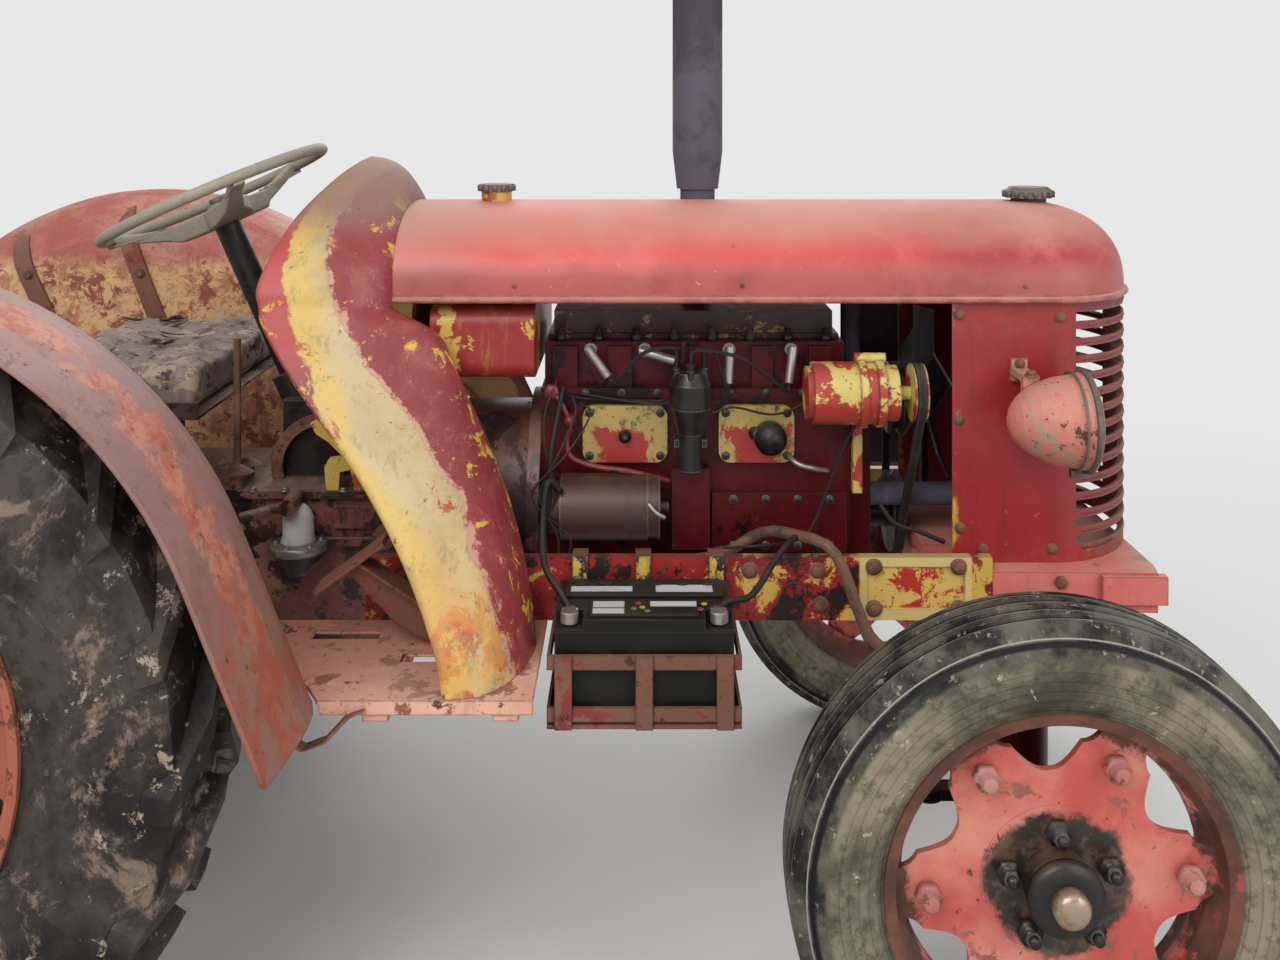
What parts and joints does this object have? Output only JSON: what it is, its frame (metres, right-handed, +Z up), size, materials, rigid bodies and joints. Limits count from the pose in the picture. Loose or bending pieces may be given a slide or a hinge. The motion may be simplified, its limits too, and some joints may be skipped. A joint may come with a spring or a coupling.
{
  "type": "vintage tractor",
  "caption": "Worn old farm tractor with an open engine bay, rounded bonnet and slotted nose, bench seat, mudguards, chevron rear tyres and working steering",
  "frame": {"origin": "on the ground, under the middle of the overall length and width", "axes": "+X forward, +Y to the driver's left, +Z up"},
  "size_m": [2.8494, 1.7, 1.9894],
  "materials": {
    "red_paint": "worn, faded, scratched gloss",
    "red_cream_paint": "worn cream over red, chipped",
    "engine_red": "oily, dark, chipped",
    "pink_paint": "sun-bleached and rusty",
    "brown_paint": "weathered, rust showing",
    "rusty_steel": "rusty and dusty",
    "greasy_iron": "greasy, dark",
    "bare_steel": "dull, worn bright",
    "grey_paint": "chalky, worn",
    "soot_black": "matt, sooty",
    "black_plastic": "dusty",
    "lead_rubber": "aged, dusty",
    "tyre_rubber": "dusty, muddy",
    "wheel_red": "dusty, rusty",
    "wheel_rust": "rusty orange",
    "torn_vinyl": "torn, cracked",
    "lamp_glass": "dusty clear glass"
  },
  "bodies": {
    "chassis": {"side_rails": "red_cream_paint", "front_casting": "red_paint", "gearbox": "greasy_iron", "rear_axle_housing": "engine_red", "engine_block": "engine_red", "engine_covers": "red_cream_paint", "starter_motor": "rusty_steel", "dynamo": "red_cream_paint", "distributor": "greasy_iron", "spark_plugs": "bare_steel", "wiring": "lead_rubber", "fan_drive": "greasy_iron", "fan_belt": "lead_rubber", "radiator": "soot_black", "manifold": "rusty_steel", "exhaust_stack": "soot_black", "fuel_tank": "red_cream_paint", "bonnet": "red_paint", "nose_grille": "red_paint", "filler_caps": "grey_paint", "headlamps": "pink_paint", "headlamp_glasses": "lamp_glass", "cowl": "red_cream_paint", "instrument_panel": "greasy_iron", "steering_column": "greasy_iron", "footplates": "pink_paint", "pedals": "pink_paint", "levers": "rusty_steel", "seat_frame": "engine_red", "seat_cushion": "torn_vinyl", "mudguard_left": "red_cream_paint", "mudguard_right": "brown_paint", "battery": "black_plastic", "battery_cradle": "rusty_steel", "front_axle": "engine_red", "drawbar": "rusty_steel"},
    "front_wheel_left": {"front_tyre_left": "tyre_rubber", "front_wheel_left": "wheel_red"},
    "front_wheel_right": {"front_tyre_right": "tyre_rubber", "front_wheel_right": "wheel_red"},
    "rear_wheel_left": {"rear_tyre_left": "tyre_rubber", "rear_wheel_left": "wheel_rust"},
    "rear_wheel_right": {"rear_tyre_right": "tyre_rubber", "rear_wheel_right": "wheel_rust"},
    "knuckle_left": {"knuckle_left": "greasy_iron"},
    "knuckle_right": {"knuckle_right": "greasy_iron"},
    "track_rod": {"track_rod": "rusty_steel"},
    "drag_link": {"drag_link": "rusty_steel"},
    "drop_arm": {"drop_arm": "greasy_iron"},
    "steering_wheel": {"steering_wheel": "grey_paint"}
  },
  "joints": [
    {"name": "rear_left_spin", "type": "hinge", "parent": "chassis", "child": "rear_wheel_left", "pos_m": [-0.797, 0.69, 0.628], "axis": [0, 1, 0], "continuous": true},
    {"name": "rear_right_spin", "type": "hinge", "parent": "chassis", "child": "rear_wheel_right", "pos_m": [-0.797, -0.69, 0.628], "axis": [0, 1, 0], "continuous": true},
    {"name": "steer_left", "type": "hinge", "parent": "chassis", "child": "knuckle_left", "pos_m": [1.033, 0.52, 0.45], "axis": [0, 0, 1], "range_deg": [-35, 35]},
    {"name": "steer_right", "type": "hinge", "parent": "chassis", "child": "knuckle_right", "pos_m": [1.033, -0.52, 0.45], "axis": [0, 0, 1], "range_deg": [-35, 35]},
    {"name": "front_left_spin", "type": "hinge", "parent": "knuckle_left", "child": "front_wheel_left", "pos_m": [1.033, 0.66, 0.392], "axis": [0, 1, 0], "continuous": true},
    {"name": "front_right_spin", "type": "hinge", "parent": "knuckle_right", "child": "front_wheel_right", "pos_m": [1.033, -0.66, 0.392], "axis": [0, 1, 0], "continuous": true},
    {"name": "track_rod_pivot", "type": "hinge", "parent": "knuckle_left", "child": "track_rod", "pos_m": [0.883, 0.52, 0.462], "axis": [0, 0, 1], "range_deg": [-35, 35]},
    {"name": "drag_link_pivot", "type": "hinge", "parent": "knuckle_right", "child": "drag_link", "pos_m": [1.033, -0.37, 0.57], "axis": [0, 0, 1], "range_deg": [-35, 35]},
    {"name": "drop_arm_swing", "type": "hinge", "parent": "chassis", "child": "drop_arm", "pos_m": [-0.04, -0.196, 0.905], "axis": [0, 1, 0], "range_deg": [-32, 32]},
    {"name": "steering_wheel_turn", "type": "hinge", "parent": "chassis", "child": "steering_wheel", "pos_m": [-0.423, 0, 1.344], "axis": [-0.4067, 0, 0.9135], "range_deg": [-430, 430]}
  ],
  "couplings": [
    {"joint": "steer_right", "follows": "steer_left", "ratio": 1},
    {"joint": "track_rod_pivot", "follows": "steer_left", "ratio": -1},
    {"joint": "drag_link_pivot", "follows": "steer_left", "ratio": -1},
    {"joint": "drop_arm_swing", "follows": "steer_left", "ratio": 0.88},
    {"joint": "steering_wheel_turn", "follows": "steer_left", "ratio": 12}
  ]
}
